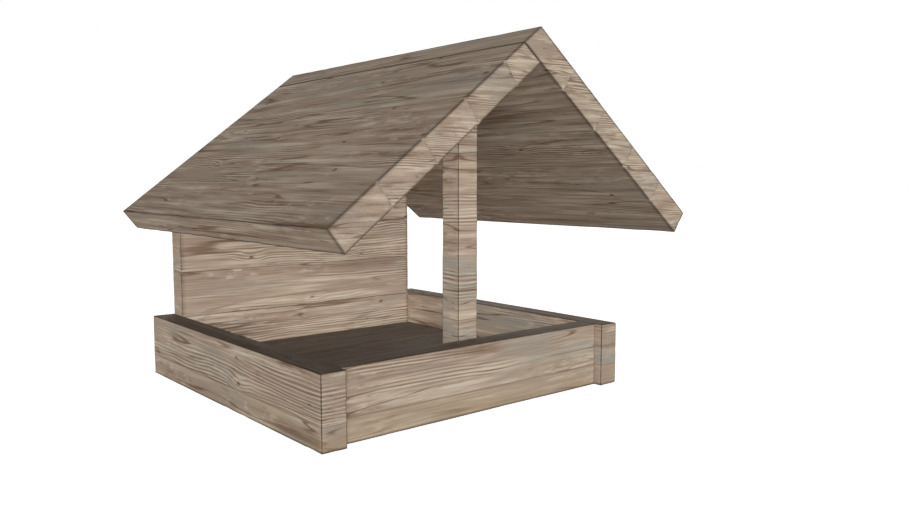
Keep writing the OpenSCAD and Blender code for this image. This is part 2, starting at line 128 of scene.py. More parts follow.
TIMBER_EDGE = 2.4 * MM   # radius of the edges of the tray's timbers and the post
PLANK_EDGE = 1.6 * MM    # of the wall's and the floor's planks
ROOF_EDGE = 1.2 * MM     # and of the roof's planks
EDGE_DARK = 4.9 * MM     # how far the dirt along an edge reaches
EDGE_FADE = 2.0 * MM     # and over how much of that it fades
JOINT_REACH = 10 * MM    # how much of a board's side counts as part of a tight joint
JOINT_DIRT = 0.16        # how dirty the edges there are, if an open edge counts as 1
FACE_STEP = 6.5 * MM     # spacing of the mesh across a board
LENGTH_STEP = 19 * MM    # and along it
EDGE_STRIP = 2.5 * MM    # width of the first flat strip beside a rounded edge
ROUND_SPLIT = 0.586      # share of the radius that splits half a rounded edge evenly
ON_SIDE = 0.1            # share of the radius within which a point is on a board's side
GROOVE_ZONE = 0.3        # share of the thickness, from the middle, that holds the grooves
SET_BACK = 0.75 * MM     # how far a worn face lies behind the CAD's face
SWELL = 0.45 * MM        # height of the broad waves on it
SWELL_CELLS = (2.6, 11, 11)      # and their noise, in cells a metre along the board's axes
RIDGES = 0.30 * MM       # height of the narrow ridges along the grain
RIDGE_CELLS = (3.5, 85, 85)
EDGE_WEAR = 0.5 * MM     # depth of the wear along an open edge
DENT_WEAR = 2.6 * MM     # and what a dent adds for each unit of noise above its start
DENT_START = 0.25
DENT_CELLS = (14, 40, 40)
ROOF_JOINT_GAP = 0.12 * MM    # how far a roof plank stays back from a joint
GRAIN_SPREAD = 4         # metres over which boards are cut from the same wood


def grid_lines(length, radius, step):
    """Places of the mesh lines along one side: close at both rounded edges."""
    near = [0, ROUND_SPLIT * radius, radius, radius + EDGE_STRIP]
    inner = length - 2 * near[-1]
    count = max(2, round(inner / step))
    middle = [near[-1] + inner * i / count for i in range(1, count)]
    return np.array(near + middle + [length - x for x in reversed(near)])


def box_lattice(lines):
    """The surface points of a box with those mesh lines, and its quads."""
    shape = tuple(len(x) for x in lines)
    surface = np.zeros(shape, bool)
    surface[[0, -1]] = True
    surface[:, [0, -1]] = True
    surface[:, :, [0, -1]] = True
    index = np.full(shape, -1)
    index[surface] = np.arange(surface.sum())
    where = np.nonzero(surface)
    points = np.stack([lines[k][where[k]] for k in range(3)], axis=1)
    quads = []
    for axis in range(3):
        for end in (0, -1):
            ids = np.take(index, end, axis=axis)
            around = (ids[:-1, :-1], ids[1:, :-1], ids[1:, 1:], ids[:-1, 1:])
            quad = np.stack(around, axis=-1).reshape(-1, 4)
            outward = (end == -1) != (axis == 1)
            quads.append(quad if outward else quad[:, ::-1])
    return points, np.concatenate(quads)


def rounded(points, size, radius):
    """The box's points, drawn in so that its edges have that radius."""
    core = np.clip(points, radius, size - radius)
    away = points - core
    reach = np.linalg.norm(away, axis=1, keepdims=True)
    return core + radius * away / np.maximum(reach, 1e-9)


def vertex_normals(points, quads):
    """The outward direction at each point, weighed by the areas of its quads."""
    a, b, c, d = (points[quads[:, k]] for k in range(4))
    face = np.cross(c - a, d - b)
    normals = np.zeros_like(points)
    for k in range(4):
        np.add.at(normals, quads[:, k], face)
    return normals / np.maximum(np.linalg.norm(normals, axis=1, keepdims=True), 1e-12)


def add_attribute(mesh, name, kind, values):
    """Stores a value of each vertex on the corners there, so that it outlasts a cut."""
    corner = np.empty(len(mesh.loops), np.int32)
    mesh.loops.foreach_get("vertex_index", corner)
    attribute = mesh.attributes.new(name, kind, "CORNER")
    key = "vector" if kind == "FLOAT_VECTOR" else "value"
    attribute.data.foreach_set(key, np.asarray(values, np.float32)[corner].ravel())


class Board:
    """One timber, measured from its CAD solid along its own three directions.

    along, across and through are unit vectors. The tongues and grooves of a
    plank are near the middle of its thickness, so its width is measured away
    from there.
    """

    def __init__(self, node, along, across, through):
        self.node = node
        self.axes = np.array([along, across, through], float)
        mesh = NODES[node].data
        points = np.empty(len(mesh.vertices) * 3)
        mesh.vertices.foreach_get("co", points)
        local = points.reshape(-1, 3) @ self.axes.T
        self.low = local.min(axis=0)
        self.high = local.max(axis=0)
        thickness = self.high[2] - self.low[2]
        from_middle = abs(local[:, 2] - (self.low[2] + self.high[2]) / 2)
        self.solid = local[from_middle > GROOVE_ZONE * thickness]
        self.low[1] = self.solid[:, 1].min()
        self.high[1] = self.solid[:, 1].max()
        self.seed = sum(ord(letter) * (i + 3) for i, letter in enumerate(node))
        self.random = np.random.default_rng(self.seed)

    def size(self):
        return self.high - self.low

    def sunk(self, flat, near_edge):
        """How far each point lies behind the CAD's face: uneven, and worn at the edges."""
        dents = np.maximum(noise(flat * DENT_CELLS, self.seed) - DENT_START, 0)
        swell = SWELL * noise(flat * SWELL_CELLS, self.seed + 1)
        ridges = RIDGES * noise(flat * RIDGE_CELLS, self.seed + 2)
        worn = near_edge * (EDGE_WEAR + DENT_WEAR * dents)
        return np.maximum(SET_BACK - swell - ridges, 0) + worn

    def build(self, radius, joints=(False, False), joint_gap=SET_BACK, fit=None, seam=None,
              lay=None, capped=False, knee=(), dirt=None):
        """The worn board as an object.

        joints says whether its low and high edges meet another plank, and
        joint_gap is how far this board stays back from the joint.
        fit moves the board's own coordinates, for cut ends and bevels.
        seam is the height of a glued joint inside the timber.
        lay gives a point's place along, across and through the grain.
        capped turns the grain on the top and bottom, so that it runs along them.
        knee lists places across the board that need a mesh line of their own.
        dirt gives how dirty each point is, from its place in the flat box and the box's size.
        """
        size = self.size()
        steps = (LENGTH_STEP, FACE_STEP, FACE_STEP)
        lines = [grid_lines(size[k], radius, steps[k]) for k in range(3)]
        if knee:
            lines[1] = np.unique(np.concatenate([lines[1], np.array(knee)]))
        flat, quads = box_lattice(lines)
        points = rounded(flat, size, radius) + self.low
        if fit:
            points = fit(points)
        normals = vertex_normals(points, quads)

        at_joint = np.zeros(len(points), bool)
        in_joint = np.zeros(len(points), bool)
        for joined, side in zip(joints, (flat[:, 1], size[1] - flat[:, 1])):
            if joined:
                at_joint |= side < JOINT_REACH
                in_joint |= side < ON_SIDE * radius
        edge_distance = np.sort(np.minimum(flat, size - flat), axis=1)[:, 1]
        near_edge = np.clip((EDGE_DARK - edge_distance) / EDGE_FADE, 0, 1)
        near_edge = np.where(at_joint, JOINT_DIRT * near_edge, near_edge)
        dirty = np.maximum(near_edge, dirt(flat, size)) if dirt else near_edge
        depth = np.where(in_joint, joint_gap, self.sunk(flat, near_edge))
        points = points - normals * depth[:, None]

        world = points @ self.axes
        if np.linalg.det(self.axes) < 0:
            quads = quads[:, ::-1]
        mesh = bpy.data.meshes.new(self.node + "_wood")
        mesh.from_pydata(world.tolist(), [], quads.tolist())
        mesh.update()
        mesh.polygons.foreach_set("use_smooth", np.ones(len(mesh.polygons), bool))

        lie = lay(world) if lay else points.copy()
        if capped:
            on_cap = np.minimum(flat[:, 1], size[1] - flat[:, 1]) < ON_SIDE * radius
            lie[on_cap, 1] = lie[on_cap, 2]
        lie = lie + self.random.uniform(0, GRAIN_SPREAD, 3)
        tone = self.random.uniform(-1, 1)
        above = world[:, 2] - seam if seam else np.ones(len(points))
        add_attribute(mesh, "grain", "FLOAT_VECTOR", lie)
        add_attribute(mesh, "edge", "FLOAT", dirty)
        add_attribute(mesh, "above_seam", "FLOAT", above)
        add_attribute(mesh, "tone", "FLOAT", np.full(len(points), tone))

        piece = bpy.data.objects.new(self.node + "_wood", mesh)
        bpy.context.scene.collection.objects.link(piece)
        return piece


# ---------------------------------------------------------------- pockets in the boards

# The CAD's pockets, which the worn boards need as well.
POCKET_REACH = 90 * MM      # length of a cutter, which ends outside its board
SCREW_POCKET = 11.3 * MM    # radius round a long screw's head
HEAD_HEIGHT = 6 * MM        # depth of that pocket, under the head's top
ROD_POCKET = 19 * MM        # radius round a tie rod's washer
WASHER = 3 * MM             # its thickness
BARREL_HOLE = 10.2 * MM     # radius round a barrel nut
DRUM_SIDES = 40             # sides of a round pocket
SHARP_ANGLE = 40            # degrees, over which the edge of a pocket stays crisp
POCKET_DIRT = 0.6           # how dirty the wood inside a pocket is


def cut(piece, cutters):
    """Takes the cutters out of a piece, for good, and removes them."""
    for cutter in cutters:
        modifier = piece.modifiers.new("cut", "BOOLEAN")
        modifier.operation = "DIFFERENCE"
        modifier.solver = "MANIFOLD"
        modifier.object = cutter
    view = bpy.context.evaluated_depsgraph_get()
    result = bpy.data.meshes.new_from_object(piece.evaluated_get(view))
    piece.modifiers.clear()
    piece.data = result
    result.set_sharp_from_angle(angle=math.radians(SHARP_ANGLE))
    for cutter in cutters:
        bpy.data.objects.remove(cutter)


def cutter_from(points, faces):
    """A cutter that leaves dirty wood behind it. Its outside becomes the pocket's wall."""
    mesh = bpy.data.meshes.new("cutter")
    mesh.from_pydata(points, [], faces)
    add_attribute(mesh, "grain", "FLOAT_VECTOR", [tuple(p) for p in points])
    add_attribute(mesh, "edge", "FLOAT", [POCKET_DIRT] * len(points))
    add_attribute(mesh, "above_seam", "FLOAT", [1.0] * len(points))
    cutter = bpy.data.objects.new("cutter", mesh)
    bpy.context.scene.collection.objects.link(cutter)
    return cutter


def box_cutter(low, high):
    """A cutter with flat sides, between two opposite corners."""
    points = [tuple(np.where(corner, high, low)) for corner in np.ndindex(2, 2, 2)]
    faces = [(0, 1, 3, 2), (4, 6, 7, 5), (0, 4, 5, 1), (2, 3, 7, 6), (0, 2, 6, 4), (1, 5, 7, 3)]
    return cutter_from(points, faces)


def round_cutter(start, direction, radius, length):
    """A closed drum from start along direction, to drill a pocket with."""
    turn = Vector(direction).to_track_quat("Z", "Y")
    points = []
    for z in (0, length):
        for i in range(DRUM_SIDES):
            angle = 2 * math.pi * i / DRUM_SIDES
            spot = Vector((radius * math.cos(angle), radius * math.sin(angle), z))
            points.append(Vector(start) + turn @ spot)
    faces = [tuple(reversed(range(DRUM_SIDES))), tuple(range(DRUM_SIDES, 2 * DRUM_SIDES))]
    for i in range(DRUM_SIDES):
        after = (i + 1) % DRUM_SIDES
        faces.append((i, after, DRUM_SIDES + after, DRUM_SIDES + i))
    return cutter_from(points, faces)


def solids(node):
    """The corner points of each separate solid in a CAD node."""
    joined = bmesh.new()
    joined.from_mesh(NODES[node].data)
    bmesh.ops.remove_doubles(joined, verts=joined.verts, dist=1e-6)
    groups = []
    for first in joined.verts:
        if first.tag:
            continue
        first.tag = True
        group = []
        waiting = [first]
        while waiting:
            vertex = waiting.pop()
            group.append(tuple(vertex.co))
            for edge in vertex.link_edges:
                other = edge.other_vert(vertex)
                if not other.tag:
                    other.tag = True
                    waiting.append(other)
        groups.append(np.array(group))
    joined.free()
    return groups


def pockets(node, way, radius, depth, wanted=lambda middle: True):
    """Cutters that open a hole over each fastener of a node, towards way.

    The hole starts at depth below the fastener's end. wanted chooses the
    fasteners by their middles.
    """
    cutters = []
    for points in solids(node):
        if wanted(points.mean(axis=0)):
            height = points @ way
            end = points[height > height.max() - 0.1 * MM].mean(axis=0)
            cutters.append(round_cutter(end - way * depth, way, radius, POCKET_REACH))
    return cutters


# ---------------------------------------------------------------- the roof's planes

X, Y, Z = np.eye(3)


def largest_face_normal(node):
    """The normal of a CAD solid's broadest flat side that faces upwards."""
    areas = {}
    for polygon in NODES[node].data.polygons:
        normal = tuple(round(x, 3) for x in polygon.normal)
        if normal[2] > 0.1:
            areas[normal] = areas.get(normal, 0) + polygon.area
    return np.array(max(areas, key=areas.get))


OUT_LEFT = largest_face_normal("roof_left_plank_2")
OUT_LEFT = OUT_LEFT / np.linalg.norm(OUT_LEFT)
OUT = {"left": OUT_LEFT, "right": OUT_LEFT * (-1, 1, 1)}
UP_SLOPE = {"left": np.array([OUT_LEFT[2], 0, -OUT_LEFT[0]])}
UP_SLOPE["right"] = UP_SLOPE["left"] * (-1, 1, 1)
PITCH_SLOPE = -OUT_LEFT[0] / OUT_LEFT[2]
UNDERSIDE = Board("roof_left_plank_2", Y, UP_SLOPE["left"], OUT_LEFT).low[2]
RIDGE_UNDER = UNDERSIDE / OUT_LEFT[2]


def under_roof(x):
    """Height of the roof's underside."""
    return RIDGE_UNDER - abs(x) * PITCH_SLOPE


# ---------------------------------------------------------------- nodes of the materials

class Graph:
    """A small writer of shader nodes. Values may be sockets or numbers."""

    def __init__(self, tree):
        self.tree = tree

    def add(self, kind, **settings):
        node = self.tree.nodes.new(kind)
        for name, value in settings.items():
            setattr(node, name, value)
        return node

    def feed(self, socket, value):
        if isinstance(value, bpy.types.NodeSocket):
            self.tree.links.new(value, socket)
        else:
            socket.default_value = value

    def math(self, operation, a, b=0.0, c=0.0):
        node = self.add("ShaderNodeMath", operation=operation)
        for socket, value in zip(node.inputs, (a, b, c)):
            self.feed(socket, value)
        return node.outputs[0]

    def times(self, a, b):
        return self.math("MULTIPLY", a, b)

    def split(self, kind, value):
        """The separate parts of a vector or a colour."""
        node = self.add(kind)
        self.feed(node.inputs[0], value)
        return node.outputs

    def scaled(self, vector, scale, shift=(0, 0, 0)):
        node = self.add("ShaderNodeVectorMath", operation="MULTIPLY_ADD")
        self.feed(node.inputs[0], vector)
        node.inputs[1].default_value = scale
        self.feed(node.inputs[2], shift)
        return node.outputs[0]

    def noise(self, vector, scale, detail=2.0, roughness=0.5):
        """Noise about 0.5. The scale is in cells a unit, along each direction."""
        node = self.add("ShaderNodeTexNoise")
        self.feed(node.inputs["Vector"], self.scaled(vector, scale))
        node.inputs["Scale"].default_value = 1
        node.inputs["Detail"].default_value = detail
        node.inputs["Roughness"].default_value = roughness
        return node.outputs[0]

    def smooth(self, value, low, high, out_low=0.0, out_high=1.0):
        """Rises softly from out_low, at low, to out_high, at high."""
        node = self.add("ShaderNodeMapRange", interpolation_type="SMOOTHSTEP")
        self.feed(node.inputs["Value"], value)
        node.inputs["From Min"].default_value = low
        node.inputs["From Max"].default_value = high
        node.inputs["To Min"].default_value = out_low
        node.inputs["To Max"].default_value = out_high
        return node.outputs["Result"]

    def patches(self, vector, scale, start, full, most=1.0, detail=2.0, roughness=0.5):
        """Soft patches: nothing where the noise is under start, and most over full."""
        return self.smooth(self.noise(vector, scale, detail, roughness), start, full, 0.0, most)

    def contour(self, vector, scale, detail, roughness=0.5):
        """How far the noise is from its middle, so that 0 draws long thin lines."""
        from_middle = self.math("SUBTRACT", self.noise(vector, scale, detail, roughness), 0.5)
        return self.math("ABSOLUTE", from_middle)

    def mix(self, factor, a, b, blend="MIX"):
        """Mixes two colours. Their sockets come after those for numbers and vectors."""
        node = self.add("ShaderNodeMix", data_type="RGBA", blend_type=blend)
        self.feed(node.inputs[0], factor)
        self.feed(node.inputs[6], a)
        self.feed(node.inputs[7], b)
        return node.outputs[2]

    def ramp(self, value, stops):
        node = self.add("ShaderNodeValToRGB")
        self.feed(node.inputs[0], value)
        elements = node.color_ramp.elements
        while len(elements) < len(stops):
            elements.new(0.5)
        for element, (place, colour) in zip(elements, stops):
            element.position = place
            element.color = colour
        return node.outputs[0]

    def attribute(self, name, output="Fac"):
        return self.add("ShaderNodeAttribute", attribute_name=name).outputs[output]


def rgb(*screen):
    """A colour on screen, from 0 to 255, as the linear one that shaders use."""
    return tuple(((x / 255 + 0.055) / 1.055) ** 2.4 for x in screen) + (1,)


def new_material(name):
    material = bpy.data.materials.new(name)
    material.use_nodes = True
    material.node_tree.nodes.clear()
    graph = Graph(material.node_tree)
    output = graph.add("ShaderNodeOutputMaterial")
    shader = graph.add("ShaderNodeBsdfPrincipled")
    graph.tree.links.new(shader.outputs[0], output.inputs[0])
    return material, graph, shader


def add_bump(g, shader, height, strength, distance):
    bump = g.add("ShaderNodeBump")
    bump.inputs["Strength"].default_value = strength
    bump.inputs["Distance"].default_value = distance
    g.feed(bump.inputs["Height"], height)
    g.feed(shader.inputs["Normal"], bump.outputs[0])


# Weathered softwood, as it looks in even light. The last two colours paint shade: the first on
# faces that look at the sky, the second on undersides, where it is also the dirt along edges.
CREAM = rgb(214, 200, 180)
TAN = rgb(186, 167, 147)
PINK = rgb(168, 147, 130)
BROWN = rgb(136, 112, 92)
RED_BROWN = rgb(119, 93, 75)
DARK = rgb(92, 72, 56)
GREY = rgb(163, 156, 144)
OCHRE = rgb(176, 155, 127)
# Painted shade for the faces that look at the sky.
PAINTED_TOP_SHADE = rgb(80, 64, 47)
# Dirt along edges and in pockets, and painted shade on undersides.
SOOT_AND_UNDER_SHADE = rgb(46, 38, 30)

# Galvanised steel.
DULL_ZINC = rgb(150, 154, 158)
BRIGHT_ZINC = rgb(186, 189, 192)
WHITE_RUST = rgb(200, 200, 194)

RING_PITCH = 13.5 * MM      # from one dark ring to the next
KNOT_CELLS = (1.9, 5.2, 0.0)    # cells a metre that may each hold a knot
KNOT_STRETCH = 0.5          # along the grain, so that knots are twice as long that way
UNDER_SEAM_JUMP = (1.7, 0.9, 2.3)    # metres to the wood that the lower board is cut from


def wood_inputs(g, coordinates):
    """A point's place in the wood, its dirt, its height over a glued seam and its tone."""
    if coordinates == "attributes":
        return (g.attribute("grain", "Vector"), g.attribute("edge"),
                g.attribute("above_seam"), g.attribute("tone"))
    # A CAD mesh stores none of these. Its grain runs along Y.
    at = g.split("ShaderNodeSeparateXYZ", g.add("ShaderNodeTexCoord").outputs["Object"])
    join = g.add("ShaderNodeCombineXYZ")
    for socket, source in zip(join.inputs, "YXZ"):
        g.feed(socket, at[source])
    return join.outputs[0], 0.0, 1.0, 0.0


def glued_seam(g, place, above):
    """The place in the wood again, with another board under the seam.

    Also returns whether a point is on that board, and how near the seam is.
    """
    lower = g.math("LESS_THAN", above, 0.0)
    jump = g.add("ShaderNodeCombineXYZ")
    for socket, amount in zip(jump.inputs, UNDER_SEAM_JUMP):
        g.feed(socket, g.times(lower, amount))
    place = g.scaled(place, (1, 1, 1), jump.outputs[0])
    wander = g.math("MULTIPLY_ADD", g.noise(place, (3, 3, 3), 1), 4 * MM, -2 * MM)
    distance = g.math("ABSOLUTE", g.math("ADD", above, wander))
    return place, lower, g.smooth(distance, 0.8 * MM, 3.0 * MM, 1.0, 0.0)


def knots(g, place, lower):
    """How far a point is in a knot, and in the wood that bends round one.

    Knots are in one of every two cells of a stretched pattern, and not in a
    board under a glued seam.
    """
    stretched = g.scaled(place, KNOT_CELLS)
    cells = g.add("ShaderNodeTexVoronoi", voronoi_dimensions="2D")
    g.feed(cells.inputs["Vector"], stretched)
    cells.inputs["Scale"].default_value = 1
    chance = g.split("ShaderNodeSeparateColor", cells.outputs["Color"])[0]
    upper = g.math("SUBTRACT", 1.0, lower)
    has_knot = g.times(g.math("GREATER_THAN", chance, 0.50), upper)
    offset = g.add("ShaderNodeVectorMath", operation="SUBTRACT")
    g.feed(offset.inputs[0], stretched)
    g.feed(offset.inputs[1], cells.outputs["Position"])
    to_metres = (KNOT_STRETCH / KNOT_CELLS[0], 1 / KNOT_CELLS[1], 0)
    length = g.add("ShaderNodeVectorMath", operation="LENGTH")
    g.feed(length.inputs[0], g.scaled(offset.outputs[0], to_metres))
    distance = length.outputs["Value"]
    ragged = g.math("MULTIPLY_ADD", g.noise(place, (40, 110, 60), 3, 0.6), 26 * MM, -13 * MM)
    core = g.smooth(g.math("ADD", distance, ragged), 3 * MM, 9 * MM, 1.0, 0.0)
    halo = g.smooth(distance, 6 * MM, 60 * MM, 1.0, 0.0)
    return g.times(core, has_knot), g.times(halo, has_knot)


def rings(g, place, lower, halo):
    """How strongly the pale early wood and the dark late wood show at a point.

    Rings are layers across the grain, bent by noise and pushed aside by knots.
    They come in bands, and hardly show under a glued seam.
    """
    slow = g.times(g.noise(place, (1.2, 4.5, 1.0), 2, 0.45), 80 * MM)
    quick = g.times(g.noise(place, (3.4, 24, 4), 2, 0.5), 13 * MM)
    bulge = g.times(halo, 17 * MM)
    across = g.split("ShaderNodeSeparateXYZ", place)["Y"]
    depth = g.math("ADD", g.math("ADD", across, slow), g.math("ADD", quick, bulge))
    wave = g.math("SINE", g.times(depth, 2 * math.pi / RING_PITCH))
    strength = g.smooth(g.noise(place, (2.0, 70, 12), 1), 0.30, 0.66, 0.25, 1.0)
    band = g.patches(place, (0.9, 6.5, 1.6), 0.51, 0.57)
    show = g.times(g.math("MULTIPLY_ADD", band, 0.84, 0.10),
                   g.math("MULTIPLY_ADD", lower, -0.75, 1.0))
    early = g.times(g.smooth(wave, -0.25, -0.95), strength)
    late = g.times(g.smooth(wave, 0.25, 0.95), strength)
    return g.times(early, show), g.times(late, show)


def sawn_colour(g, place, streaks, halo, early, late, grey):
    """Streaks from cream to brown, slow patches, a cloudy mottle and the rings."""
    base = g.ramp(streaks, [(0.30, BROWN), (0.42, PINK), (0.52, TAN), (0.66, CREAM)])
    base = g.mix(g.patches(place, (1.3, 6.5, 3), 0.46, 0.66, grey, 3, 0.55), base, GREY)
    base = g.mix(g.patches(place, (1.1, 7.5, 3), 0.50, 0.64, 0.75), base, PINK)
    cloudy = g.noise(place, (12, 44, 9), 3, 0.6)
    zone = g.math("MAXIMUM", halo, g.patches(place, (1.7, 8, 4), 0.50, 0.62))
    base = g.mix(g.times(g.smooth(cloudy, 0.52, 0.68), g.times(zone, 0.65)), base, CREAM)
    base = g.mix(g.times(g.smooth(cloudy, 0.46, 0.32), g.times(zone, 0.55)), base, BROWN)
    base = g.mix(g.times(early, 0.95), base, CREAM)
    return g.mix(g.times(late, 0.95), base, BROWN)


def wood_material(name, shade=1.0, top_painted_shade=0.75, top_shade_start=0.80, grey=0.95,
                  coordinates="attributes"):
    """Old softwood: long streaks, bands of rings, grey patches, knots and dirty edges.

    shade multiplies the colour, and is set for each copy as painted light and shade. grey is
    how far its silver patches go.
    top_painted_shade is how much painted shade darkens the faces that look at the sky,
    once they face it more than top_shade_start. Noise scales are in cells a metre
    along, across and through the grain.
    """
    material, g, shader = new_material(name)
    place, edge, above, tone = wood_inputs(g, coordinates)
    place, lower, seam = glued_seam(g, place, above)
    knot, halo = knots(g, place, lower)
    early, late = rings(g, place, lower, halo)
    streaks = g.noise(place, (1.6, 31, 4), 4, 0.62)
    base = sawn_colour(g, place, streaks, halo, early, late, grey)

    # Long thin dark lines, where the sun has opened the grain.
    broken = g.patches(place, (2.6, 11, 5), 0.40, 0.58)
    line = g.times(g.smooth(g.contour(place, (0.8, 13, 1.6), 2, 0.45), 0.002, 0.022, 1.0, 0.0),
                   broken)
    base = g.mix(g.times(line, 0.82), base, RED_BROWN)
    crack = g.times(g.smooth(g.contour(place, (1.8, 46, 5), 1), 0.0, 0.014, 1.0, 0.0),
                    g.patches(place, (2.3, 15, 8), 0.55, 0.68, detail=1))
    base = g.mix(g.times(crack, 0.72), base, DARK)
    fibres = g.noise(place, (8, 240, 120), 3, 0.6)
    base = g.mix(1.0, base, g.smooth(fibres, 0.25, 0.75, 0.89, 1.09), "MULTIPLY")

    # Knots, the seam and the stained board under it.
    base = g.mix(g.times(knot, 0.78), base, DARK)
    stain = g.patches(place, (2.0, 9, 4), 0.38, 0.64, 0.45)
    base = g.mix(g.times(lower, stain), base, OCHRE)
    base = g.mix(g.times(seam, 0.60), base, BROWN)

    # Painted shade: the faces that look at the sky are darkened, and undersides too, as the
    # light falls on them. Edges are dirty.
    facing = g.add("ShaderNodeNewGeometry").outputs["Normal"]
    rise = g.split("ShaderNodeSeparateXYZ", facing)["Z"]
    # Painted shade: the more a face looks at the sky, the darker it is painted, standing in for
    # the light it gets.
    base = g.mix(g.times(g.smooth(rise, top_shade_start, 0.98), top_painted_shade), base, PAINTED_TOP_SHADE)
    # Painted shade on undersides: the more a face looks down, the darker it is painted.
    base = g.mix(g.smooth(rise, -0.5, -0.8, 0.0, 0.24), base, SOOT_AND_UNDER_SHADE)
    # Dirt along the edges and in pockets, in the same dark colour.
    base = g.mix(g.times(edge, 0.82), base, SOOT_AND_UNDER_SHADE)
    # A random tone for each board, and the copy's shade, which is painted light and shade.
    base = g.mix(1.0, base, g.math("MULTIPLY_ADD", tone, 0.03, shade), "MULTIPLY")
    g.feed(shader.inputs["Base Color"], base)
    g.feed(shader.inputs["Roughness"], g.math("MULTIPLY_ADD", streaks, -0.18, 0.97))
    shader.inputs["Specular IOR Level"].default_value = 0.06

    height = g.times(late, 0.55)
    height = g.math("ADD", height, g.times(fibres, 0.45))
    height = g.math("ADD", height, g.times(streaks, 0.60))
    height = g.math("SUBTRACT", height, g.times(crack, 1.2))
    height = g.math("SUBTRACT", height, seam)
    add_bump(g, shader, height, 0.45, 1.2 * MM)
    return material


def zinc_material(name, spangle, dullness):
    """Galvanised steel: pale crystal spangle, dull patches and a little white rust.

    spangle is in crystals a metre, and dullness is the least roughness.
    """
    material, g, shader = new_material(name)
    place = g.add("ShaderNodeTexCoord").outputs["Object"]
    crystals = g.add("ShaderNodeTexVoronoi")
    g.feed(crystals.inputs["Vector"], place)
    crystals.inputs["Scale"].default_value = spangle
    shine = g.split("ShaderNodeSeparateColor", crystals.outputs["Color"])[0]
    dull = g.noise(place, (35, 35, 35), 3)
    rust = g.patches(place, (90, 90, 90), 0.58, 0.72, detail=4, roughness=0.65)
    colour = g.ramp(shine, [(0.0, DULL_ZINC), (1.0, BRIGHT_ZINC)])
    g.feed(shader.inputs["Base Color"], g.mix(g.times(rust, 0.5), colour, WHITE_RUST))
    shader.inputs["Metallic"].default_value = 0.85
    rough = g.math("MULTIPLY_ADD", dull, 0.25, dullness)
    g.feed(shader.inputs["Roughness"], g.math("MULTIPLY_ADD", rust, 0.25, rough))
    add_bump(g, shader, g.math("ADD", dull, rust), 0.25, 0.4 * MM)
    return material


# ---------------------------------------------------------------- pieces

TRAY_SEAM = 0.09            # height of the glued joint in the tray's timbers
SPLASH = 7 * MM             # height of the splashed earth on them
SPLASH_FADE = 3 * MM
LAP_DIRT = 7 * MM           # reach of the dirt in the ridge's long joint
LAP_FADE = 4 * MM
ROOF_CLEARANCE = 1.0 * MM   # between the roof's underside and what stands under it
WALL_TIP = 1.5 * MM         # half the width of the wall at its very top
BEVEL_ZONE = 3 * MM         # depth of the layers that show where a bevel ends
FLOOR_GAP = 3 * MM          # round the post
NOTCH_START = 50 * MM       # how far in front of the post the floor's notch begins
NOTCH_HEIGHTS = (-0.05, 0.5)    # and between which heights it is cut
WALL_FOOT = 0.1             # fasteners lower than this are at the foot of the wall
RIGHT_EAVE = 0.5            # and those further to the right are at that eave


def put_in_place(piece, node, material):
    piece.data.materials.clear()
    piece.data.materials.append(material)
    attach(piece, BODY)
    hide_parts(node)


def numbered(start):
    """The nodes whose names begin like that, in order."""
    return sorted(name for name in NODES if name.startswith(start))


def ground_dirt(flat, size):
    """Splashed earth along the foot of a timber."""
    return np.clip((SPLASH - flat[:, 1]) / SPLASH_FADE, 0, 1)


def ridge_dirt(side):
    """Dirt in the long joint where the right slope laps over the left one."""
    def dirt(flat, size):
        from_end = size[1] - flat[:, 1]
        if side == "left":
            on_top = flat[:, 2] > size[2] / 2
            return np.clip((LAP_DIRT - from_end) / LAP_FADE, 0, 1) * on_top
        on_end = from_end < MM
        return np.clip((LAP_DIRT - flat[:, 2]) / LAP_FADE, 0, 1) * on_end
    return dirt


def make_tray(material):
    """Three timbers on edge. Their top faces have their own grain."""
    along = {"side_timber_left": Y, "side_timber_right": Y, "front_timber": X}
    for name, way in along.items():
        board = Board(name, way, Z, X if way is Y else Y)
        piece = board.build(TIMBER_EDGE, seam=TRAY_SEAM, capped=True, dirt=ground_dirt)
        put_in_place(piece, name, material)


def at_foot(middle):
    """Whether a fastener is at the foot of the wall, and not up inside it."""
    return middle[2] < WALL_FOOT


def on_left(middle):
    return middle[0] < 0


def at_right_eave(middle):
    return middle[0] > RIGHT_EAVE


def make_wall(material):
    """Horizontal planks, cut along the roof at their ends."""
    low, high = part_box("wall_plank_1")
    tray_half = max(abs(low.x), abs(high.x))
    knee_z = RIDGE_UNDER - tray_half * PITCH_SLOPE
    names = numbered("wall_plank_")
    for i, name in enumerate(names):
        board = Board(name, X, Z, Y)

        def fit(points, half=board.high[0]):
            """Ends the plank at the tray's side, or under the slope above the knee."""
            room = (RIDGE_UNDER - ROOF_CLEARANCE - points[:, 1]) / PITCH_SLOPE
            points[:, 0] = points[:, 0] / half * np.clip(room, WALL_TIP, tray_half)
            return points

        sloped = board.high[1] > knee_z
        knee = [knee_z - board.low[1]] if sloped and board.low[1] < knee_z else []
        joints = (name != names[0], name != names[-1])
        piece = board.build(PLANK_EDGE, joints=joints, fit=fit if sloped else None, knee=knee)
        if i == 0:
            cut(piece, pockets("wall_rod_washers", -Z, ROD_POCKET, WASHER, at_foot))
        put_in_place(piece, name, material)


def make_post(material):
    """The post, with its head cut to both slopes."""
    board = Board("post", Z, X, Y)

    def fit(points):
        top = under_roof(points[:, 1]) - ROOF_CLEARANCE
        points[:, 0] = points[:, 0] / board.high[0] * top
        return points

    def level_grain(world):
        return world[:, [0, 2, 1]]

    centre = -board.low[1]
    piece = board.build(TIMBER_EDGE, fit=fit, knee=[centre], lay=level_grain)
    cut(piece, pockets("post_screws", Y, SCREW_POCKET, HEAD_HEIGHT))
    put_in_place(piece, "post", material)


